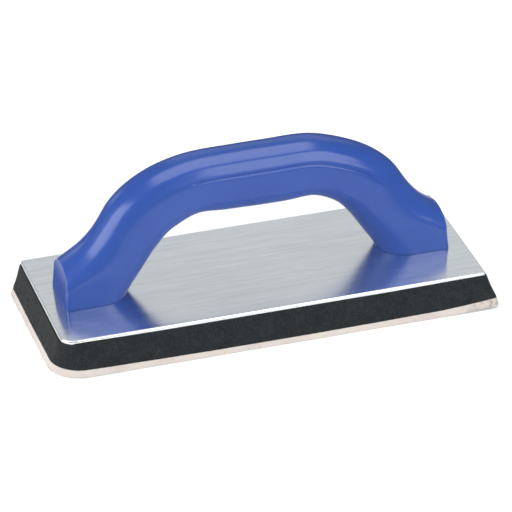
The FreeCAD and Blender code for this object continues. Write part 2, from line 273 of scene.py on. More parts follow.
def end_corner(y):
    """How far the rounded upright corners draw the end face in at y."""
    over = np.clip(np.abs(y) - END_CORNER_Y, 0, END_CORNER_RADIUS)
    return END_CORNER_RADIUS - np.sqrt(np.maximum(END_CORNER_RADIUS ** 2 - over * over, 0))


def end_x(y, z):
    return END_X - END_DRAFT * z - end_corner(y)


def above_sole(points):
    return points[:, 2] - SOLE_Z


def inside_end(points):
    return end_x(points[:, 1], points[:, 2]) - np.abs(points[:, 0])


def inside_foot(points):
    return np.minimum(above_sole(points), inside_end(points))


def crossing(column, side, clearance):
    """Place on a lengthwise curve, going out to one side, where the clearance falls to zero."""
    s = MIDDLE + side * np.arange(30, MIDDLE - 2, 0.1)
    first = int(np.argmax(clearance(points_at(column, s)) < 0))
    inside, outside = s[first - 1], s[first]
    for _ in range(30):
        half_way = 0.5 * (inside + outside)
        if clearance(points_at(column, half_way))[0] >= 0:
            inside = half_way
        else:
            outside = half_way
    return 0.5 * (inside + outside)


def foot_corner_v(side):
    """Place around the section whose curve meets the sole and the end face together."""
    low, high = 20.0, 30.0                    # on the flat of the side
    for _ in range(40):
        half_way = 0.5 * (low + high)
        column = pole_column(half_way)
        stop = crossing(column, side, above_sole)
        if inside_end(points_at(column, stop))[0] > 0:
            high = half_way
        else:
            low = half_way
    return 0.5 * (low + high)


def places_around(corner_v):
    """Places of the mesh columns around the section, close together at the moulded lines."""
    half = [k * 0.5 for k in range(0, 2 * UNDERSIDE_V + 1)]
    half = [v for v in half if not (UPPER_V - 3.5 < v < UPPER_V + 1.5
                                    or LOWER_V - 2.5 < v < LOWER_V + 3.0)]
    half += list(np.arange(UPPER_V - 3.5, UPPER_V - 1.2, 0.25))
    half += list(np.arange(UPPER_V - 1.2, UPPER_V + 1.45, 0.09)) + [UPPER_V + 1.5]
    half += list(np.arange(LOWER_V - 2.5, LOWER_V - 1.7, 0.25))
    half += list(np.arange(LOWER_V - 1.7, LOWER_V + 1.8, 0.1))
    half += [LOWER_V + 2.0, LOWER_V + 2.4, LOWER_V + 2.8]
    half = sorted([float(v) for v in half if abs(v - corner_v) > 0.2] + [corner_v])
    return half + [AROUND - v for v in reversed(half[1:-1])]


def relief(past_upper, past_lower, x):
    """Height of the moulded detail, from the distances below the two lines and the place in X."""
    # how far each feature runs along the grip before it fades out
    flute_run = ease(-46, -33, x) * (1 - ease(44, 60, x))
    crease_run = ease(-33.0, -30.0, x) * (1 - ease(56, 66, x))
    panel_run = ease(-33, -30, x) * (1 - ease(57, 67, x))
    lower_run = ease(-38, -30, x) * (1 - ease(46, 60, x))
    # faint flute along the crown
    height = -0.20 * flute_run * hump(past_upper, centre=-5.2, half=2.6)
    # crease above the side panel
    height = height - (0.44 * crease_run * ease(-1.12, -0.66, past_upper)
                       * ramp(0.0, -0.66, past_upper))
    # raised side panel: part of it ends at the lower line, the rest tapers away below
    drop = 0.80 * lower_run
    rise = 0.36 * ramp(0, 0.78, past_upper)
    height = height + panel_run * rise * (1 - ease(-0.22, 0.30, past_lower) * drop
                                          - ease(0.0, 7.0, past_lower) * (1 - drop))
    # bead along the panel's lower edge, and the groove below it
    height = height + (0.29 * lower_run * ramp(-0.95, -0.40, past_lower)
                       * (1 - ease(-0.28, 0.25, past_lower)))
    return height - 0.12 * lower_run * hump(past_lower, centre=0.50, half=0.6)


# ------------------------------------------------------------------ handle: mesh
def grip_points(columns, places, rows):
    """Surface points (column, row, xyz) of the grip, raised by the relief."""
    points = np.array([points_at(column, rows) for column in columns])
    along = np.gradient(points, axis=1)
    around = 0.5 * (np.roll(points, -1, 0) - np.roll(points, 1, 0))
    normals = np.cross(around, along)
    normals /= np.linalg.norm(normals, axis=2)[:, :, None]
    if normals[0, len(rows) // 2, 2] < 0:
        normals = -normals
    last = places.index(float(UNDERSIDE_V))
    lengths = np.linalg.norm(np.diff(points[:last + 1], axis=0), axis=2)
    run = np.concatenate([np.zeros((1, len(rows))), np.cumsum(lengths, axis=0)])
    half_places = np.array(places[:last + 1])

    def run_to(v):
        return np.array([np.interp(v, half_places, run[:, i]) for i in range(len(rows))])

    centre_x = np.array([0.5 * (spline(OUTER_X, u, odd=True) + spline(INNER_X, u, odd=True))
                         for u in (rows - MIDDLE) * U_STEP])
    half = relief(run - run_to(UPPER_V), run - run_to(LOWER_V), centre_x[None, :])
    heights = np.concatenate([half, half[1:-1][::-1]])
    return points + normals * heights[:, :, None]


def end_fillet(edge, edge_way, travel, side):
    """Setback of the rounding at the end's edge, the way down the end face, and the angle."""
    y, z = edge[1], edge[2]
    dy = 0.01
    slope = (end_corner(y + dy) - end_corner(y - dy)) / (2 * dy)
    normal = unit(np.array([side * 1.0, slope, END_DRAFT]))
    down = unit(np.cross(normal, edge_way))
    if down @ (np.array([edge[0], 0.0, 8.0]) - edge) < 0:
        down = -down
    angle = math.acos(max(-1, min(1, float(-travel @ down))))
    # radius grows from nothing at the sole to 1.6, then falls to 0.75 near the top
    radius = ease(SOLE_Z, 3.0, z) * (1.6 + (0.75 - 1.6) * ease(10.5, 14.0, z))
    return min(radius / math.tan(angle / 2), 0.9), down, angle


def fillet_arc(mesh, start, edge, end, angle):
    """Vertices of a conic arc from just after start to end, drawn towards the edge point."""
    weight = math.sin(angle / 2)
    arc = []
    for m in range(1, FILLET_ROWS + 1):
        t = m / (FILLET_ROWS + 1.0)
        k0, k1, k2 = (1 - t) ** 2, 2 * t * (1 - t) * weight, t * t
        arc.append(mesh.add((k0 * start + k1 * edge + k2 * end) / (k0 + k1 + k2)))
    return arc + [mesh.add(end)]


def close_end(mesh, arch, base, side):
    """The end face: rings shrinking to its middle."""
    centre_y, centre_z = 0.0, 9.0
    loop = arch + base
    rim = [mesh.verts[k] for k in loop]
    for scale in (0.9, 0.75, 0.58, 0.4, 0.22):
        inner = []
        for point in rim:
            y = centre_y + (point[1] - centre_y) * scale
            z = centre_z + (point[2] - centre_z) * scale
            inner.append(mesh.add(np.array([side * end_x(y, z), y, z])))
        mesh.strip(loop, inner, closed=True)
        loop = inner
    hub = np.array([side * end_x(centre_y, centre_z), centre_y, centre_z])
    mesh.fan(loop, mesh.add(hub))


def close_sole(mesh, loop, side):
    """The sole: a small rounding, then flat."""
    rim = np.array([mesh.verts[k] for k in loop])[:, :2]
    way = np.roll(rim, -1, 0) - np.roll(rim, 1, 0)
    way /= np.linalg.norm(way, axis=1)[:, None] + 1e-12
    inward = np.stack([way[:, 1], -way[:, 0]], 1)
    if np.mean(np.sum((rim - rim.mean(0)) * inward, 1)) > 0:
        inward = -inward
    for inset, z in ((0.03, 0.18), (0.1, 0.07), (0.22, 0.01), (0.34, 0.0), (1.2, 0.0)):
        inner = [mesh.add(np.array([x, y, z])) for x, y in rim + inward * inset]
        mesh.strip(loop, inner, closed=True)
        loop = inner
    mesh.fan(loop, mesh.add(np.array([side * 88.0, 0.0, 0.0])))


def add_foot(mesh, columns, corners, side, start_ids):
    """One foot, from the grip's last row to the end face and the sole."""
    corner_a, corner_b = corners
    count = len(columns)
    on_end = [j <= corner_a or j >= corner_b for j in range(count)]
    stops, edges, travels, speeds = [], [], [], []
    for column in columns:
        stop = crossing(column, side, inside_foot)
        move = (points_at(column, stop + side * 0.05)[0]
                - points_at(column, stop - side * 0.05)[0])
        stops.append(stop)
        edges.append(points_at(column, stop)[0])
        travels.append(unit(move))
        speeds.append(np.linalg.norm(move) / 0.1)

    grid, arcs = [], []
    start = MIDDLE + side * GRIP_REACH
    for j in range(count):
        setback = 0.0
        if on_end[j] and j not in corners:
            edge_way = unit(edges[(j + 1) % count] - edges[j - 1])
            setback, down, angle = end_fillet(edges[j], edge_way, travels[j], side)
        last = stops[j] - side * setback / speeds[j]
        points = points_at(columns[j],
                           start + (last - start) * (np.arange(1, TOE_ROWS + 1) / TOE_ROWS))
        if setback == 0.0:
            points[-1] = edges[j]
        ids = [mesh.add(point) for point in points]
        grid.append([start_ids[j]] + ids)
        if setback > 0:
            foot = edges[j] + down * setback
            foot[0] = side * end_x(foot[1], foot[2])
            arcs.append(fillet_arc(mesh, points[-1], edges[j], foot, angle))
        else:
            arcs.append([ids[-1]] * (FILLET_ROWS + 1))

    for j in range(count):
        after = (j + 1) % count
        mesh.strip(grid[j], grid[after])
        if on_end[j] and on_end[after]:
            mesh.strip(grid[j][-1:] + arcs[j], grid[after][-1:] + arcs[after])

    # the end face's lower edge runs back from corner to corner, closer together at its middle
    arch = [arcs[j][-1] for j in list(range(corner_b, count)) + list(range(corner_a + 1))]
    corner_y = abs(edges[corner_a][1])
    base_y = np.linspace(corner_y, -corner_y, 22)[1:-1]
    base_y = corner_y * np.sign(base_y) * np.abs(base_y / corner_y) ** 0.8
    base = [mesh.add(np.array([side * end_x(y, SOLE_Z), y, SOLE_Z])) for y in base_y]
    close_end(mesh, arch, base, side)
    sole = [grid[j][-1] for j in range(corner_a, corner_b + 1)] + base[::-1]
    close_sole(mesh, sole, side)


def build_handle(material):
    corner_v = 0.5 * (foot_corner_v(-1) + foot_corner_v(1))
    places = places_around(corner_v)
    corners = places.index(corner_v), places.index(AROUND - corner_v)
    columns = [pole_column(v) for v in places]
    rows = np.arange(MIDDLE - GRIP_REACH, MIDDLE + GRIP_REACH + 0.01, 0.5)
    mesh = Mesh()
    grip = [[mesh.add(point) for point in column]
            for column in grip_points(columns, places, rows)]
    for j in range(len(grip)):
        mesh.strip(grip[j], grip[(j + 1) % len(grip)])
    for side in (-1, 1):
        start_ids = [ids[0] if side < 0 else ids[-1] for ids in grip]
        add_foot(mesh, columns, corners, side, start_ids)
    verts = np.array(mesh.verts)
    verts[:, 2] += PLATE_TOP
    handle = new_object("handle_moulding", verts, mesh.faces, sharp_degrees=50)
    place(handle, material, "handle")
    return handle


# ------------------------------------------------------------------ rounded-rectangle bodies
def ring_params(long_count, short_count, corner_counts):
    """Places round a rounded rectangle as (kind, side, t): four sides and four corners."""
    out = []
    for side in range(4):
        count = long_count if side % 2 == 0 else short_count
        out += [("side", side, i / count) for i in range(count)]
        out += [("corner", side, i / corner_counts[side]) for i in range(corner_counts[side])]
    return out


def ring(params, length, width, radii):
    """XY points and outward normals, starting along the front (-Y) side towards +X."""
    signs = np.array([(1, -1), (1, 1), (-1, 1), (-1, -1)])
    side_normals = np.array([(0, -1), (1, 0), (0, 1), (-1, 0)])
    radii = np.array(radii, float)
    centres = signs * (np.array([length / 2, width / 2]) - radii[:, None])
    starts = np.roll(centres, 1, 0) + np.roll(radii, 1)[:, None] * side_normals
    ends = centres + radii[:, None] * side_normals
    points, normals = [], []
    for kind, i, t in params:
        if kind == "side":
            normals.append(side_normals[i])
            points.append(starts[i] + (ends[i] - starts[i]) * t)
        else:
            angle = math.radians(-90 + 90 * i + 90 * t)
            normals.append(np.array([math.cos(angle), math.sin(angle)]))
            points.append(centres[i] + radii[i] * normals[-1])
    return np.array(points), np.array(normals, float)


def ring_run(points):
    """Distance round the ring to each point, and the whole way round."""
    lengths = np.linalg.norm(np.roll(points, -1, 0) - points, axis=1)
    return np.concatenate([[0], np.cumsum(lengths)[:-1]]), lengths.sum()


def outline(z):
    """Length, width and corner radii of the flared pad at height z."""
    shrink = 2 * FLARE * (z / PLATE_TOP)
    radii = [face + (top - face) * z / FOAM_TOP
             for face, top in zip(FACE_RADII, PAD_TOP_RADII)]
    return FACE_LENGTH - shrink, FACE_WIDTH - shrink, radii


def settle(verts):
    """The soft pad as it lies: the joint between sponge and gum is a little low in the middle and
    high at the ends, and the front +X corner curls up. The sponge's top stays on the plate."""
    v = np.array(verts, float)
    x, y, z = v[:, 0], v[:, 1], v[:, 2]
    joint = 0.5 * (GUM_TOP + FOAM_BOTTOM)
    below = np.clip(z / joint, 0, 1)
    above = ramp(FOAM_TOP, joint, z)
    bow = np.minimum(-0.42 + 0.66 * (np.abs(x) / 80.0) ** 2.2, 1.3)
    curl = 1.45 * ramp(88.0, 119.0, x) ** 1.7 * ease(14.0, -48.0, y)
    # towards the back of the -X end the bow is less, and the underside is just off the ground
    rounded_end = ramp(-70.0, -120.0, x) ** 1.5
    bow = bow - 0.85 * rounded_end * ease(-34.0, 6.0, y)
    lift = 0.85 * rounded_end * ramp(-12.0, 42.0, y)
    low = z <= joint
    v[:, 2] = (z + bow * np.where(low, below, above) + curl * np.where(low, 1.0, above)
               + lift * (1 - below))
    # towards the ends the rim stands up a little beside the plate; z is the height settled so far
    length, width, _ = outline(FOAM_TOP)
    inset = np.minimum(length / 2 - np.abs(x), width / 2 - np.abs(y))
    rim = (1 - ramp(0.22, 0.60, inset)) * ramp(FOAM_TOP - 2.5, FOAM_TOP, z) ** 2
    v[:, 2] += 0.50 * rim * ramp(62.0, 102.0, np.abs(x))
    return v


def waves(s, total, z, bands, seed):
    """Smooth noise along a closed ring: sums of sines with whole numbers of waves round it.
    Each band is (fewest waves, most waves, amplitude, number of sines)."""
    random = np.random.default_rng(seed)
    out = np.zeros_like(s + z)
    for fewest, most, amplitude, count in bands:
        tilt = 0.25 if most < 200 else 4.0
        for _ in range(count):
            turns = random.integers(fewest, most)
            phase = 2 * np.pi * turns * s / total + random.uniform(0, 6.283)
            out = out + amplitude / math.sqrt(count) * np.sin(
                phase + random.uniform(-tilt, tilt) * z)
    return out


def stack_mesh(params, levels, offset, cap_insets=(2.0, 6.0, 16.0)):
    """A closed body from rings at levels (z, length, width, radii), bottom first.
    offset(level number, z, s, total) moves the points out along their normals."""
    mesh = Mesh()
    rings = []
    for i, (z, length, width, radii) in enumerate(levels):
        points, normals = ring(params, length, width, radii)
        points = points + normals * offset(i, z, *ring_run(points))[:, None]
        rings.append([mesh.add((x, y, z)) for x, y in points])
        if i:
            mesh.strip(rings[-2], rings[-1], closed=True)
    for level, edge, bottom in ((levels[0], rings[0], True), (levels[-1], rings[-1], False)):
        z, length, width, radii = level
        for inset in cap_insets:
            inner_radii = [max(radius - inset, 0.4) for radius in radii]
            points, _ = ring(params, length - 2 * inset, width - 2 * inset, inner_radii)
            inner = [mesh.add((x, y, z)) for x, y in points]
            mesh.strip(*((inner, edge) if bottom else (edge, inner)), closed=True)
            edge = inner
        mesh.faces.append(edge[::-1] if bottom else edge)
    return mesh


# ------------------------------------------------------------------ sponge, gum and glue
SPONGE_RING = ring_params(560, 232, (8, 8, 26, 60))
SPONGE_ROWS = 34
PIT_COUNT = 3600
GUM_RING = ring_params(420, 176, (8, 8, 22, 48))


def sponge_pits():
    """Depth of the open cells at each (row, point) of the sponge's side, zero or negative."""
    depths = np.zeros((SPONGE_ROWS + 1, len(SPONGE_RING)))
    random = np.random.default_rng(7)
    row_height = FOAM_HEIGHT / SPONGE_ROWS
    run, total = ring_run(ring(SPONGE_RING, *outline(10.0))[0])
    for _ in range(PIT_COUNT):
        s = random.uniform(0, total)
        centre_row = random.uniform(1.0, SPONGE_ROWS - 1.0)
        radius = 0.28 + 0.5 * random.random() ** 3
        depth = radius * random.uniform(0.25, 0.6)
        nearest = int(np.searchsorted(run, s)) % len(run)
        near = np.arange(nearest - 5, nearest + 6) % len(run)
        away = run[near] - s
        away = np.where(away > total / 2, away - total,
                        np.where(away < -total / 2, away + total, away))
        first = max(int(centre_row - radius / row_height - 1), 1)
        end = min(int(centre_row + radius / row_height + 2), SPONGE_ROWS)
        for row in range(first, end):
            rise = (row - centre_row) * row_height
            spread = (away / radius) ** 2 + (rise / radius) ** 2
            dent = np.where(spread < 1, -depth * (1 - spread), 0.0)
            depths[row, near] = np.minimum(depths[row, near], dent)
    return depths


def build_sponge(material):
    """Sponge pad: flared sides with open cells, a little wavy."""
    heights = [FOAM_BOTTOM + FOAM_HEIGHT * i / SPONGE_ROWS for i in range(SPONGE_ROWS + 1)]
    pits = sponge_pits()
    bands = [(3, 16, 0.10, 4), (30, 90, 0.03, 6), (300, 650, 0.007, 12)]

    def offset(i, z, s, total):
        belly = math.sin(math.pi * (z - FOAM_BOTTOM) / FOAM_HEIGHT)
        hollow = -0.22 * belly ** 2        # the sides draw in a little between plate and face
        lip = -0.10 if i in (0, SPONGE_ROWS) else 0.0
        wavy = waves(s, total, z, bands, seed=11) * (0.35 + 0.65 * belly)
        return wavy + hollow + pits[i] + lip - 0.05

    mesh = stack_mesh(SPONGE_RING, [(z, *outline(z)) for z in heights], offset,
                      cap_insets=(0.65, 2.0, 6.0, 16.0))
    pad = new_object("sponge_pad", settle(mesh.verts), mesh.faces, sharp_degrees=60)
    place(pad, material, "foam_pad")
    return pad


def build_gum(material):
    """Gum sheet: the same flare, with a soft lower edge."""
    profile = [(0.0, 0.42), (0.03, 0.26), (0.10, 0.12), (0.22, 0.03), (0.40, 0.0)]  # z, inset
    profile += [(z, 0.0) for z in (0.8, 1.25, 1.7, 2.15, 2.6, 2.95, 3.12)] + [(GUM_TOP, 0.06)]
    levels = []
    for z, inset in profile:
        length, width, radii = outline(z)
        levels.append((z, length - 2 * inset, width - 2 * inset, radii))
    bands = [(3, 16, 0.06, 4), (40, 120, 0.02, 6), (200, 400, 0.012, 8)]

    def offset(i, z, s, total):
        return waves(s, total, z, bands, seed=23) - 0.05

    mesh = stack_mesh(GUM_RING, levels, offset)
    face = new_object("gum_sheet", settle(mesh.verts), mesh.faces, sharp_degrees=60)
    place(face, material, "gum_face")
    return face


def build_film(name, node, bottom, top, seed, material):
    """A glue film with a wandering edge, set back from the pad's sides."""
    lo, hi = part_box(node)
    size = (hi.x - lo.x) / MM, (hi.y - lo.y) / MM, outline(bottom)[2]
    levels = [(z, *size) for z in (bottom, 0.5 * (bottom + top), top)]
    bands = [(5, 30, 0.16, 5), (60, 200, 0.10, 8)]

    def offset(i, z, s, total):
        bulge = 0.05 if i == 1 else 0.0
        return np.minimum(waves(s, total, 0.0, bands, seed), 0.30) - 0.42 + bulge

    mesh = stack_mesh(GUM_RING, levels, offset)
    film = new_object(name, settle(mesh.verts), mesh.faces, sharp_degrees=80)
    place(film, material, node)


# ------------------------------------------------------------------ material helper
class Mat:
    """A Principled material whose textures use object coordinates (metres)."""

    def __init__(self, name):
        self.material = bpy.data.materials.new(name)
        self.material.use_nodes = True
        self.tree = self.material.node_tree
        self.shader = self.tree.nodes["Principled BSDF"]
        self.coords = self.node("TexCoord").outputs["Object"]

    def node(self, kind):
        return self.tree.nodes.new("ShaderNode" + kind)

    def feed(self, socket, value):
        """Link a socket, or set a number or colour."""
        if isinstance(value, bpy.types.NodeSocket):
            self.tree.links.new(value, socket)
        else:
            socket.default_value = (*value, 1) if socket.type == "RGBA" else value

    def set(self, key, value):
        self.feed(self.shader.inputs[key], value)

    def noise(self, scale=1.0, detail=3.0, roughness=0.5, stretch=None):
        node = self.node("TexNoise")
        node.inputs["Scale"].default_value = scale
        node.inputs["Detail"].default_value = detail
        node.inputs["Roughness"].default_value = roughness
        vector = self.coords
        if stretch:
            mapping = self.node("Mapping")
            mapping.inputs["Scale"].default_value = stretch
            self.feed(mapping.inputs["Vector"], vector)
            vector = mapping.outputs["Vector"]
        self.feed(node.inputs["Vector"], vector)
        return node.outputs["Fac"]

    def voronoi(self, scale):
        node = self.node("TexVoronoi")
        node.inputs["Scale"].default_value = scale
        self.feed(node.inputs["Vector"], self.coords)
        return node.outputs["Distance"]

    def ramp(self, source, *stops):
        """Colour ramp with stops (position, colour)."""
        node = self.node("ValToRGB")
        elements = node.color_ramp.elements
        while len(elements) < len(stops):
            elements.new(0.5)
        for element, (position, colour) in zip(elements, stops):
            element.position = position
            element.color = (*colour, 1)
        self.feed(node.inputs["Fac"], source)
        return node.outputs["Color"]

    def mix(self, factor, a, b):
        node = self.node("Mix")
        node.data_type = "RGBA"
        for index, value in ((0, factor), (6, a), (7, b)):   # the colour sockets are 6 and 7
            self.feed(node.inputs[index], value)
        return node.outputs[2]

    def math(self, operation, a, b, clamp=False):
        node = self.node("Math")
        node.operation = operation
        node.use_clamp = clamp
        self.feed(node.inputs[0], a)
        self.feed(node.inputs[1], b)
        return node.outputs[0]

    def add(self, a, b):
        return self.math("ADD", a, b)

    def times(self, a, b, clamp=False):
        return self.math("MULTIPLY", a, b, clamp)

    def remap(self, source, span, to):
        node = self.node("MapRange")
        for index, value in enumerate((*span, *to), 1):
            node.inputs[index].default_value = value
        self.feed(node.inputs[0], source)
        return node.outputs[0]

    def bump(self, height, strength, distance, over=None):
        node = self.node("Bump")
        node.inputs["Strength"].default_value = strength
        node.inputs["Distance"].default_value = distance
        self.feed(node.inputs["Height"], height)
        if over is not None:
            self.feed(node.inputs["Normal"], over)
        return node.outputs["Normal"]

    def split(self):
        """X, Y and Z of the object coordinates."""
        node = self.node("SeparateXYZ")
        self.feed(node.inputs[0], self.coords)
        return node.outputs


def srgb(*channels):
    """Linear colour from 8-bit sRGB values."""
    scaled = [c / 255 for c in channels]
    return tuple(c / 12.92 if c <= 0.04045 else ((c + 0.055) / 1.055) ** 2.4 for c in scaled)


# ------------------------------------------------------------------ materials
def mat_plastic():
    m = Mat("moulded_blue_plastic")
    cloud = m.noise(scale=22.0, detail=4.0, roughness=0.55)
    speckle = m.noise(scale=420.0, detail=3.0, roughness=0.6)
    colour = m.ramp(cloud, (0.30, (0.0225, 0.060, 0.262)), (0.5, (0.0250, 0.065, 0.278)),
                    (0.72, (0.0285, 0.071, 0.292)))
    # painted highlight: convex edges and ridges are made paler, in broken patches, standing in for
    # light caught on the moulded lines and edges
    pointiness = m.node("NewGeometry").outputs["Pointiness"]
    edge = m.remap(pointiness, span=(0.508, 0.56), to=(0.0, 1.0))
    edge = m.times(edge, m.remap(speckle, span=(0.35, 0.65), to=(0.25, 1.0)), clamp=True)
    m.set("Base Color", m.mix(m.times(edge, 0.35), colour, (0.06, 0.11, 0.36)))
    m.set("Roughness", m.add(m.remap(cloud, span=(0.3, 0.7), to=(0.185, 0.225)),
                             m.remap(speckle, span=(0.3, 0.7), to=(-0.015, 0.025))))
    m.set("Specular IOR Level", 0.40)
    peel = m.noise(scale=700.0, detail=2.0, roughness=0.5)
    fine = m.noise(scale=3800.0, detail=2.0, roughness=0.6)
    skin = m.bump(peel, strength=0.035, distance=0.00006)
    m.set("Normal", m.bump(fine, strength=0.02, distance=0.00002, over=skin))
    return m.material


def mat_aluminium():
    m = Mat("rolled_aluminium")
    # rolling grain: three streaked noises along X
    medium = m.noise(detail=3.0, roughness=0.6, stretch=(14.0, 700.0, 60.0))
    fine = m.noise(detail=2.0, roughness=0.6, stretch=(60.0, 2600.0, 200.0))
    cloud = m.noise(scale=24.0, detail=4.0, roughness=0.6, stretch=(0.7, 1.3, 1.0))
    smudge = m.noise(scale=60.0, detail=3.0, roughness=0.6)
    coarse = m.noise(detail=3.0, roughness=0.65, stretch=(26.0, 330.0, 60.0))
    grain = m.add(m.times(coarse, 0.4), m.add(m.times(medium, 0.3), m.times(fine, 0.3)))
    colour = m.ramp(grain, (0.36, (0.72, 0.75, 0.775)), (0.5, (0.85, 0.882, 0.905)),
                    (0.64, (0.95, 0.975, 0.99)))
    clouded = m.ramp(cloud, (0.35, (0.76, 0.80, 0.825)), (0.65, (0.93, 0.955, 0.975)))
    colour = m.mix(0.35, colour, clouded)
    # painted shade: mirrored in other pieces, the plate is given a darker colour, most of all at its -X
    # end
    path = m.node("LightPath").outputs
    painted_end_shade = m.remap(m.split()[0], span=(-0.108, -0.098), to=(0.0, 1.0))
    mirrored = m.mix(painted_end_shade, (0.12, 0.125, 0.14), (0.62, 0.65, 0.69))
    m.set("Base Color", m.mix(path["Is Glossy Ray"], colour, mirrored))
    m.set("Metallic", 1.0)
    roughness = m.add(m.remap(grain, span=(0.3, 0.7), to=(0.135, 0.170)),
                      m.remap(cloud, span=(0.3, 0.7), to=(-0.01, 0.015)))
    roughness = m.add(roughness, m.remap(smudge, span=(0.58, 0.75), to=(0.0, 0.02)))
    unseen = m.remap(path["Is Camera Ray"], span=(0.0, 1.0), to=(0.30, 0.0))
    m.set("Roughness", m.add(roughness, unseen))
    m.set("Anisotropic", 0.92)
    tangent = m.node("CombineXYZ")
    tangent.inputs[1].default_value = 1.0
    m.set("Tangent", tangent.outputs[0])
    ripple = m.bump(cloud, strength=0.045, distance=0.00005)
    m.set("Normal", m.bump(grain, strength=0.16, distance=0.00002, over=ripple))
    return m.material


def mat_foam():
    m = Mat("black_sponge_rubber")
    cells = m.voronoi(scale=1500.0)
    large_cells = m.voronoi(scale=620.0)
    mottle = m.noise(scale=180.0, detail=5.0, roughness=0.65)
    colour = m.ramp(mottle, (0.3, srgb(25, 28, 30)), (0.55, srgb(31, 34, 36)),
                    (0.8, srgb(41, 44, 46)))
    # scattered pale specks
    speck = m.ramp(large_cells, (0.04, (1, 1, 1)), (0.13, (0, 0, 0)))
    patches = m.noise(scale=240.0, detail=2.0, roughness=0.5)
    rare = m.times(speck, m.remap(patches, span=(0.56, 0.66), to=(0.0, 1.0)), clamp=True)
    colour = m.mix(m.times(rare, 0.5), colour, srgb(100, 104, 105))
    # pale and dark grit
    grit = m.noise(scale=1150.0, detail=2.0, roughness=0.7)
    pale = m.remap(grit, span=(0.50, 0.68), to=(0.0, 0.40))
    colour = m.mix(pale, colour, srgb(54, 58, 60))
    dark = m.remap(grit, span=(0.48, 0.34), to=(0.0, 0.45))
    m.set("Base Color", m.mix(dark, colour, srgb(17, 19, 21)))
    m.set("Roughness", 0.88)
    m.set("Specular IOR Level", 0.12)
    m.set("Sheen Weight", 0.05)
    m.set("Sheen Roughness", 0.6)
    height = m.add(m.times(cells, 0.6), m.times(mottle, 0.8))
    m.set("Normal", m.bump(height, strength=0.55, distance=0.00025))
    return m.material


def mat_gum():
    m = Mat("pale_gum_rubber")
    cloud = m.noise(scale=55.0, detail=5.0, roughness=0.62)
    fine = m.noise(scale=900.0, detail=3.0, roughness=0.6)
    colour = m.ramp(cloud, (0.28, srgb(184, 173, 169)), (0.5, srgb(192, 183, 178)),
                    (0.75, srgb(195, 189, 177)))
    spots = m.remap(m.noise(scale=320.0, detail=2.0, roughness=0.5),
                    span=(0.66, 0.74), to=(0.0, 0.35))
    colour = m.mix(spots, colour, srgb(150, 142, 130))
    # greyer mottled patches near the front +X corner
    place_x, place_y, _ = m.split()
    near = m.times(m.remap(place_x, span=(0.095, 0.116), to=(0.0, 1.0)),
                   m.remap(place_y, span=(-0.030, -0.045), to=(0.0, 1.0)), clamp=True)
    corner_grey_mottle = m.remap(m.noise(scale=420.0, detail=4.0, roughness=0.7),
                     span=(0.46, 0.58), to=(0.0, 0.75))
    m.set("Base Color", m.mix(m.times(near, corner_grey_mottle, clamp=True), colour, srgb(128, 128, 116)))
    m.set("Roughness", m.remap(fine, span=(0.3, 0.7), to=(0.55, 0.75)))
    m.set("Specular IOR Level", 0.35)
    m.set("Subsurface Weight", 0.25)
    m.set("Subsurface Radius", (0.0035, 0.002, 0.0014))
    m.set("Subsurface Scale", 0.5)
    layers = m.noise(detail=3.0, roughness=0.6, stretch=(120.0, 120.0, 1600.0))
    height = m.add(m.times(fine, 0.5), m.times(layers, 0.7))
    m.set("Normal", m.bump(height, strength=0.30, distance=0.00012))
    return m.material


def mat_glue():
    m = Mat("contact_adhesive")
    mottle = m.noise(scale=260.0, detail=4.0, roughness=0.6)
    m.set("Base Color", m.ramp(mottle, (0.3, srgb(34, 31, 28)), (0.7, srgb(62, 55, 47))))
    m.set("Roughness", m.remap(mottle, span=(0.3, 0.7), to=(0.45, 0.7)))
    m.set("Normal", m.bump(mottle, strength=0.4, distance=0.0001))
    return m.material


def mat_screw():
    m = Mat("zinc_plated_steel")
    mottle = m.noise(scale=500.0, detail=4.0, roughness=0.6)
    m.set("Base Color", m.ramp(mottle, (0.3, (0.52, 0.50, 0.44)), (0.7, (0.70, 0.69, 0.64))))
    m.set("Metallic", 1.0)
    m.set("Roughness", m.remap(mottle, span=(0.3, 0.7), to=(0.24, 0.42)))
    m.set("Normal", m.bump(mottle, strength=0.2, distance=0.00005))
    return m.material


def mat_floor():
    """Near white to the camera; in reflections a painted pool of light: only the patch round the
    product is bright.
    """
    m = Mat("pale_floor")
    cloud = m.noise(scale=3.0, detail=2.0, roughness=0.5)
    path = m.node("LightPath").outputs
    seen = m.ramp(cloud, (0.3, (0.94, 0.94, 0.94)), (0.7, (0.96, 0.96, 0.96)))
    length = m.node("VectorMath")
    length.operation = "LENGTH"
    m.feed(length.inputs[0], m.coords)
    distance = length.outputs["Value"]
    # painted pool of light: to glossy rays the floor is pale within about 0.2 m of the product and dark
    # beyond
    sheen = m.mix(m.remap(distance, span=(0.19, 0.30), to=(0.0, 1.0)),
                  (0.84, 0.84, 0.84), (0.10, 0.10, 0.10))
    unseen = m.mix(path["Is Glossy Ray"], (0.88, 0.88, 0.88), sheen)
    m.set("Base Color", m.mix(path["Is Camera Ray"], unseen, seen))
    m.set("Roughness", 0.9)
    m.set("Emission Color", (1.0, 1.0, 1.0))
    glow = m.remap(distance, span=(0.45, 1.6), to=(0.0, 0.9))
    m.set("Emission Strength", m.times(path["Is Camera Ray"], glow))
    m.set("Specular IOR Level", 0.0)
    return m.material


# ------------------------------------------------------------------ floor, world, lights, camera
def build_floor():
    half, z = 3.0, -0.0002
    mesh = bpy.data.meshes.new("floor")
    corners = [(-half, -half, z), (half, -half, z), (half, half, z), (-half, half, z)]
    mesh.from_pydata(corners, [], [(0, 1, 2, 3)])
    floor = link_object("floor", mesh)
    floor.data.materials.append(mat_floor())


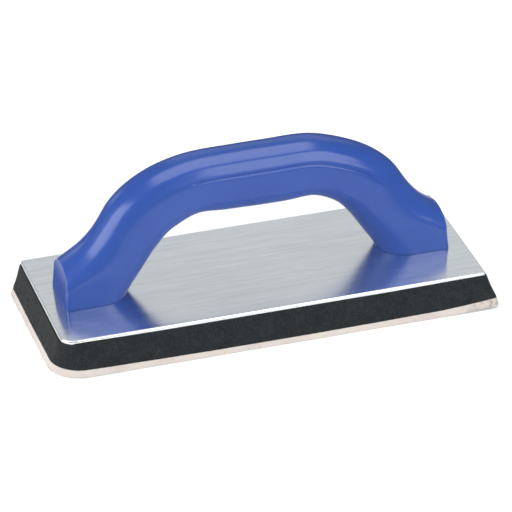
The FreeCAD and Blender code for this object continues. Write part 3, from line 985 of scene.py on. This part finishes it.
def build_world():
    """White to the camera, a faint cool light otherwise, and fainter still in reflections."""
    world = bpy.data.worlds.new("studio")
    bpy.context.scene.world = world
    world.use_nodes = True
    nodes, link = world.node_tree.nodes, world.node_tree.links.new

    def set_background(node, colour, strength):
        node.inputs["Color"].default_value = (*colour, 1)
        node.inputs["Strength"].default_value = strength

    ambient = nodes["Background"]
    set_background(ambient, colour=(0.97, 0.985, 1.0), strength=0.40)
    strength = nodes.new("ShaderNodeMapRange")
    strength.inputs["To Min"].default_value = 0.42
    strength.inputs["To Max"].default_value = 0.16
    backdrop = nodes.new("ShaderNodeBackground")
    set_background(backdrop, colour=(1.0, 1.0, 1.0), strength=1.0)
    path = nodes.new("ShaderNodeLightPath").outputs
    link(path["Is Glossy Ray"], strength.inputs["Value"])
    link(strength.outputs["Result"], ambient.inputs["Strength"])
    mix = nodes.new("ShaderNodeMixShader")
    link(path["Is Camera Ray"], mix.inputs["Fac"])
    link(ambient.outputs[0], mix.inputs[1])
    link(backdrop.outputs[0], mix.inputs[2])
    link(mix.outputs[0], nodes["World Output"].inputs["Surface"])


WHITE, COOL = (1.0, 1.0, 1.0), (0.96, 0.985, 1.0)
DIFFUSE, GLOSS, BOTH = (True, False), (False, True), (True, True)   # kinds of light given
# name, place, aim, (width, height), radiance, colour, kinds, what it lights
SOFTBOXES = (
    # softboxes seen in the gloss, and broad fills that leave no reflection of their own
    ("overhead_softbox", (0.0, 0.0, 1.55), (0, 0, 0), (1.46, 1.46), 3.5, WHITE, GLOSS,
     "all_but_metal"),
    ("overhead_fill", (0.0, 0.05, 1.6), (0, 0, 0), (1.4, 1.4), 2.5, WHITE, DIFFUSE, None),
    ("left_softbox", (-1.36, -0.34, 0.60), (0, 0, 0.10), (1.04, 0.94), 4.8, WHITE, GLOSS, None),
    ("left_fill", (-1.75, 0.35, 0.42), (0, 0, 0.05), (1.2, 0.8), 8.8, WHITE, DIFFUSE, None),
    ("front_softbox", (0.78, -1.42, 0.92), (0, 0, 0.08), (1.06, 1.20), 3.9, WHITE, BOTH, None),
    ("front_fill", (0.30, -1.75, 0.62), (0, 0, 0.05), (1.2, 0.9), 3.9, WHITE, DIFFUSE, None),
    ("back_panel", (0.66, 1.80, 1.12), (0, 0, 0), (1.7, 1.1), 0.50, COOL, BOTH, None),
    ("back_left_strip", (-0.90, 1.60, 0.46), (0, 0, 0), (0.5, 0.32), 1.1, WHITE, GLOSS, None),
    # pale walls and ceiling that only the metal plate mirrors, so that it reads as bare aluminium
    ("wall_back_left", (-1.22, 1.22, 0.80), (0, 0, 0.02), (1.45, 1.2), 0.48, COOL, GLOSS,
     "metal_only"),
    ("wall_front_left", (-0.80, -1.72, 0.80), (0, 0, 0.02), (1.3, 1.2), 0.48, COOL, GLOSS,
     "metal_only"),
    ("wall_right", (1.95, 0.35, 0.80), (0, 0, 0.02), (1.7, 1.2), 0.48, COOL, GLOSS,
     "metal_only"),
    ("ceiling", (0.0, -0.2, 1.6), (0, -0.2, 0.02), (2.8, 2.8), 0.95, COOL, GLOSS,
     "metal_only"),
)


def build_lights(receivers):
    """The softboxes; receivers lists the objects of each collection that lights are kept to."""
    collections = {None: None}
    for name, members in receivers.items():
        collections[name] = bpy.data.collections.new(name)
        for member in members:
            collections[name].objects.link(member)
    for name, location, aim, size, radiance, colour, kinds, receiver in SOFTBOXES:
        light = bpy.data.lights.new(name, "AREA")
        light.shape = "RECTANGLE"
        light.size, light.size_y = size
        light.color = colour
        light.energy = radiance * size[0] * size[1] * math.pi
        ob = link_object(name, light)
        ob.location = location
        ob.rotation_mode = "QUATERNION"
        ob.rotation_quaternion = (Vector(aim) - Vector(location)).to_track_quat("-Z", "Y")
        ob.visible_camera = False
        ob.visible_diffuse, ob.visible_glossy = kinds
        if receiver:
            ob.light_linking.receiver_collection = collections[receiver]


def build_camera():
    data = bpy.data.cameras.new("camera")
    camera = link_object("camera", data)
    data.sensor_width = 36.0
    data.lens = 275.4848672
    data.clip_start, data.clip_end = 0.05, 50
    right = Vector((0.95599500, -0.29307500, -0.01343910))
    down = Vector((-0.15695602, -0.47220704, -0.86740147))
    forward = Vector((0.24786765, 0.83134082, -0.49742746))
    pose = Matrix((right, -down, -forward)).transposed().to_4x4()
    pose.translation = Vector((-0.508771, -1.714216, 1.050888))
    camera.matrix_world = pose
    bpy.context.scene.camera = camera


# ------------------------------------------------------------------ build
plastic, aluminium, foam = mat_plastic(), mat_aluminium(), mat_foam()
gum, glue, zinc = mat_gum(), mat_glue(), mat_screw()

handle = build_handle(plastic)
pad = build_sponge(foam)
face = build_gum(gum)
build_film("face_glue_film", "face_adhesive", GUM_TOP, FOAM_BOTTOM, seed=31, material=glue)
build_film("plate_glue_film", "plate_adhesive", FOAM_TOP, PLATE_BOTTOM, seed=37, material=glue)

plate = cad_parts["backing_plate"]
screws = [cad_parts["handle_screws_" + side] for side in ("left", "right")]
for piece, material in ((plate, aluminium), (screws[0], zinc), (screws[1], zinc)):
    piece.data.materials.clear()
    piece.data.materials.append(material)

build_floor()
build_world()
build_lights({"metal_only": [plate], "all_but_metal": [handle, pad, face, *screws]})
build_camera()
bpy.context.scene.view_settings.view_transform = "Standard"
bpy.context.scene.view_settings.look = "None"
